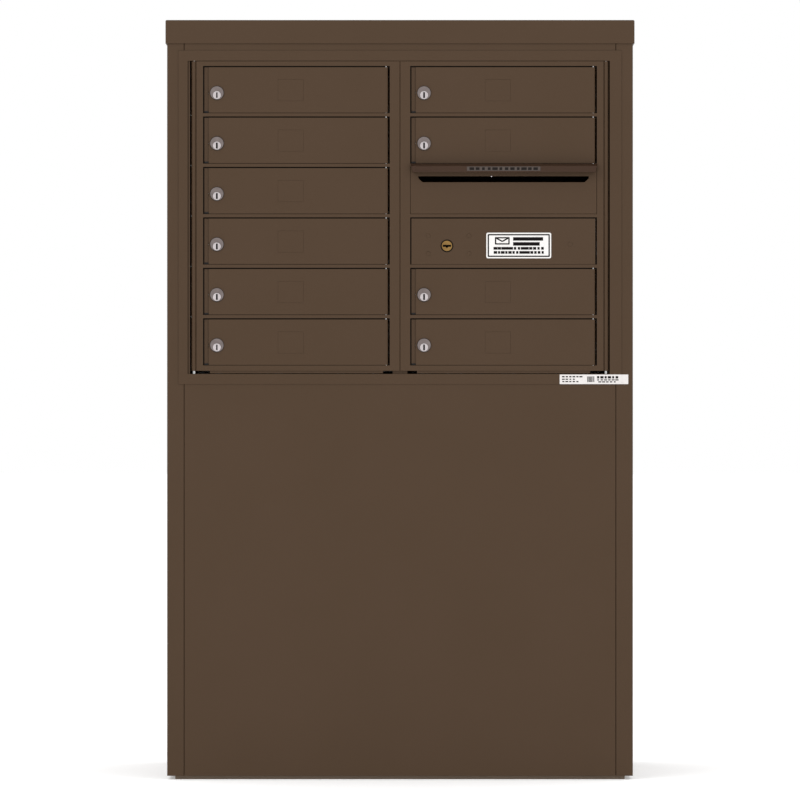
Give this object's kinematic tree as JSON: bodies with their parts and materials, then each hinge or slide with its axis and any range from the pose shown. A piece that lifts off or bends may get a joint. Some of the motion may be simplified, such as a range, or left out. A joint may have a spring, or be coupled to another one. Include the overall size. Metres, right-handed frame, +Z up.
{
  "type": "cluster mailbox unit",
  "caption": "Free-standing sheet-metal cluster mailbox: cabinet with roof cap, two swinging master doors that carry locking tenant doors, an outgoing mail slot and a master lock.",
  "frame": {"origin": "centre of the rectangle of anchor holes, on the underside of the base pan", "axes": "+Z up, doors face -Y, +X to the right as seen from the front"},
  "size_m": [0.8266, 0.5186, 1.3385],
  "materials": {
    "bronze_paint": "satin powder coat over aluminium sheet",
    "base_paint": "matt weathered powder coat",
    "galvanised_sheet": "mill finish",
    "hinge_steel": "bright drawn rod",
    "zinc_steel": "zinc plated",
    "lock_brass": "satin",
    "lock_zinc": "satin die casting",
    "plug_zinc": "bright",
    "white_label": "matt printed plate"
  },
  "bodies": {
    "root": {"base_pan": "base_paint", "left_side_panel": "bronze_paint", "right_side_panel": "bronze_paint", "back_panel": "bronze_paint", "lower_front_panel": "bronze_paint", "header_rail": "bronze_paint", "roof_cap": "bronze_paint", "surround_trim": "bronze_paint", "module_support_rails": "galvanised_sheet", "housing_shell": "galvanised_sheet", "housing_back": "galvanised_sheet", "centre_divider": "galvanised_sheet", "compartment_shelves": "galvanised_sheet", "master_pivot_pins": "hinge_steel"},
    "release_bolt": {"release_bolt": "zinc_steel"},
    "left_master": {"left_master_frame": "bronze_paint", "left_door_pins": "hinge_steel", "left_latch_keeper": "zinc_steel"},
    "right_master": {"right_master_frame": "bronze_paint", "right_door_pins": "hinge_steel", "slot_panel": "bronze_paint", "outgoing_hood": "bronze_paint", "slot_baffle": "galvanised_sheet", "master_lock_panel": "bronze_paint", "lock_panel_screws": "bronze_paint", "mail_plate": "white_label", "arrow_lock_case": "lock_brass"},
    "master_lock_plug": {"arrow_lock_plug": "lock_brass"},
    "master_bolt": {"arrow_bolt": "zinc_steel"},
    "door_01": {"door_01_panel": "bronze_paint", "door_01_lock_case": "lock_zinc"},
    "door_01_plug": {"door_01_lock_plug": "plug_zinc"},
    "door_02": {"door_02_panel": "bronze_paint", "door_02_lock_case": "lock_zinc"},
    "door_02_plug": {"door_02_lock_plug": "plug_zinc"},
    "door_03": {"door_03_panel": "bronze_paint", "door_03_lock_case": "lock_zinc"},
    "door_03_plug": {"door_03_lock_plug": "plug_zinc"},
    "door_04": {"door_04_panel": "bronze_paint", "door_04_lock_case": "lock_zinc"},
    "door_04_plug": {"door_04_lock_plug": "plug_zinc"},
    "door_05": {"door_05_panel": "bronze_paint", "door_05_lock_case": "lock_zinc"},
    "door_05_plug": {"door_05_lock_plug": "plug_zinc"},
    "door_06": {"door_06_panel": "bronze_paint", "door_06_lock_case": "lock_zinc"},
    "door_06_plug": {"door_06_lock_plug": "plug_zinc"},
    "door_07": {"door_07_panel": "bronze_paint", "door_07_lock_case": "lock_zinc"},
    "door_07_plug": {"door_07_lock_plug": "plug_zinc"},
    "door_08": {"door_08_panel": "bronze_paint", "door_08_lock_case": "lock_zinc"},
    "door_08_plug": {"door_08_lock_plug": "plug_zinc"},
    "door_09": {"door_09_panel": "bronze_paint", "door_09_lock_case": "lock_zinc"},
    "door_09_plug": {"door_09_lock_plug": "plug_zinc"},
    "door_10": {"door_10_panel": "bronze_paint", "door_10_lock_case": "lock_zinc"},
    "door_10_plug": {"door_10_lock_plug": "plug_zinc"}
  },
  "joints": [
    {"name": "release_bolt_slide", "type": "slide", "parent": "root", "child": "release_bolt", "axis": [-1, 0, 0], "range_m": [0, 0.01]},
    {"name": "left_master_swing", "type": "hinge", "parent": "root", "child": "left_master", "pos_m": [-0.363, -0.2434, 0.9931], "axis": [0, 0, -1], "range_deg": [0, 90]},
    {"name": "right_master_swing", "type": "hinge", "parent": "root", "child": "right_master", "pos_m": [0.363, -0.2434, 0.9931], "axis": [0, 0, 1], "range_deg": [0, 90]},
    {"name": "master_lock_turn", "type": "hinge", "parent": "right_master", "child": "master_lock_plug", "pos_m": [0.0827, -0.2408, 0.9405], "axis": [0, 1, 0], "range_deg": [0, 90]},
    {"name": "master_bolt_slide", "type": "slide", "parent": "right_master", "child": "master_bolt", "axis": [-1, 0, 0], "range_m": [0, 0.00777]},
    {"name": "door_01_swing", "type": "hinge", "parent": "left_master", "child": "door_01", "pos_m": [-0.0245, -0.2452, 1.2159], "axis": [0, 0, 1], "range_deg": [0, 90]},
    {"name": "door_01_lock_turn", "type": "hinge", "parent": "door_01", "child": "door_01_plug", "pos_m": [-0.3226, -0.2408, 1.206], "axis": [0, 1, 0], "range_deg": [0, 90]},
    {"name": "door_02_swing", "type": "hinge", "parent": "left_master", "child": "door_02", "pos_m": [-0.0245, -0.2452, 1.127], "axis": [0, 0, 1], "range_deg": [0, 90]},
    {"name": "door_02_lock_turn", "type": "hinge", "parent": "door_02", "child": "door_02_plug", "pos_m": [-0.3226, -0.2408, 1.1171], "axis": [0, 1, 0], "range_deg": [0, 90]},
    {"name": "door_03_swing", "type": "hinge", "parent": "left_master", "child": "door_03", "pos_m": [-0.0245, -0.2452, 1.0381], "axis": [0, 0, 1], "range_deg": [0, 90]},
    {"name": "door_03_lock_turn", "type": "hinge", "parent": "door_03", "child": "door_03_plug", "pos_m": [-0.3226, -0.2408, 1.0282], "axis": [0, 1, 0], "range_deg": [0, 90]},
    {"name": "door_04_swing", "type": "hinge", "parent": "left_master", "child": "door_04", "pos_m": [-0.0245, -0.2452, 0.9492], "axis": [0, 0, 1], "range_deg": [0, 90]},
    {"name": "door_04_lock_turn", "type": "hinge", "parent": "door_04", "child": "door_04_plug", "pos_m": [-0.3226, -0.2408, 0.9393], "axis": [0, 1, 0], "range_deg": [0, 90]},
    {"name": "door_05_swing", "type": "hinge", "parent": "left_master", "child": "door_05", "pos_m": [-0.0245, -0.2452, 0.8603], "axis": [0, 0, 1], "range_deg": [0, 90]},
    {"name": "door_05_lock_turn", "type": "hinge", "parent": "door_05", "child": "door_05_plug", "pos_m": [-0.3226, -0.2408, 0.8504], "axis": [0, 1, 0], "range_deg": [0, 90]},
    {"name": "door_06_swing", "type": "hinge", "parent": "left_master", "child": "door_06", "pos_m": [-0.0245, -0.2452, 0.7714], "axis": [0, 0, 1], "range_deg": [0, 90]},
    {"name": "door_06_lock_turn", "type": "hinge", "parent": "door_06", "child": "door_06_plug", "pos_m": [-0.3226, -0.2408, 0.7615], "axis": [0, 1, 0], "range_deg": [0, 90]},
    {"name": "door_07_swing", "type": "hinge", "parent": "right_master", "child": "door_07", "pos_m": [0.3405, -0.2452, 1.2159], "axis": [0, 0, 1], "range_deg": [0, 90]},
    {"name": "door_07_lock_turn", "type": "hinge", "parent": "door_07", "child": "door_07_plug", "pos_m": [0.0424, -0.2408, 1.206], "axis": [0, 1, 0], "range_deg": [0, 90]},
    {"name": "door_08_swing", "type": "hinge", "parent": "right_master", "child": "door_08", "pos_m": [0.3405, -0.2452, 1.127], "axis": [0, 0, 1], "range_deg": [0, 90]},
    {"name": "door_08_lock_turn", "type": "hinge", "parent": "door_08", "child": "door_08_plug", "pos_m": [0.0424, -0.2408, 1.1171], "axis": [0, 1, 0], "range_deg": [0, 90]},
    {"name": "door_09_swing", "type": "hinge", "parent": "right_master", "child": "door_09", "pos_m": [0.3405, -0.2452, 0.8603], "axis": [0, 0, 1], "range_deg": [0, 90]},
    {"name": "door_09_lock_turn", "type": "hinge", "parent": "door_09", "child": "door_09_plug", "pos_m": [0.0424, -0.2408, 0.8504], "axis": [0, 1, 0], "range_deg": [0, 90]},
    {"name": "door_10_swing", "type": "hinge", "parent": "right_master", "child": "door_10", "pos_m": [0.3405, -0.2452, 0.7714], "axis": [0, 0, 1], "range_deg": [0, 90]},
    {"name": "door_10_lock_turn", "type": "hinge", "parent": "door_10", "child": "door_10_plug", "pos_m": [0.0424, -0.2408, 0.7615], "axis": [0, 1, 0], "range_deg": [0, 90]}
  ],
  "couplings": [
    {"joint": "master_lock_turn", "follows": "master_bolt_slide", "rad_per_m": 202}
  ]
}
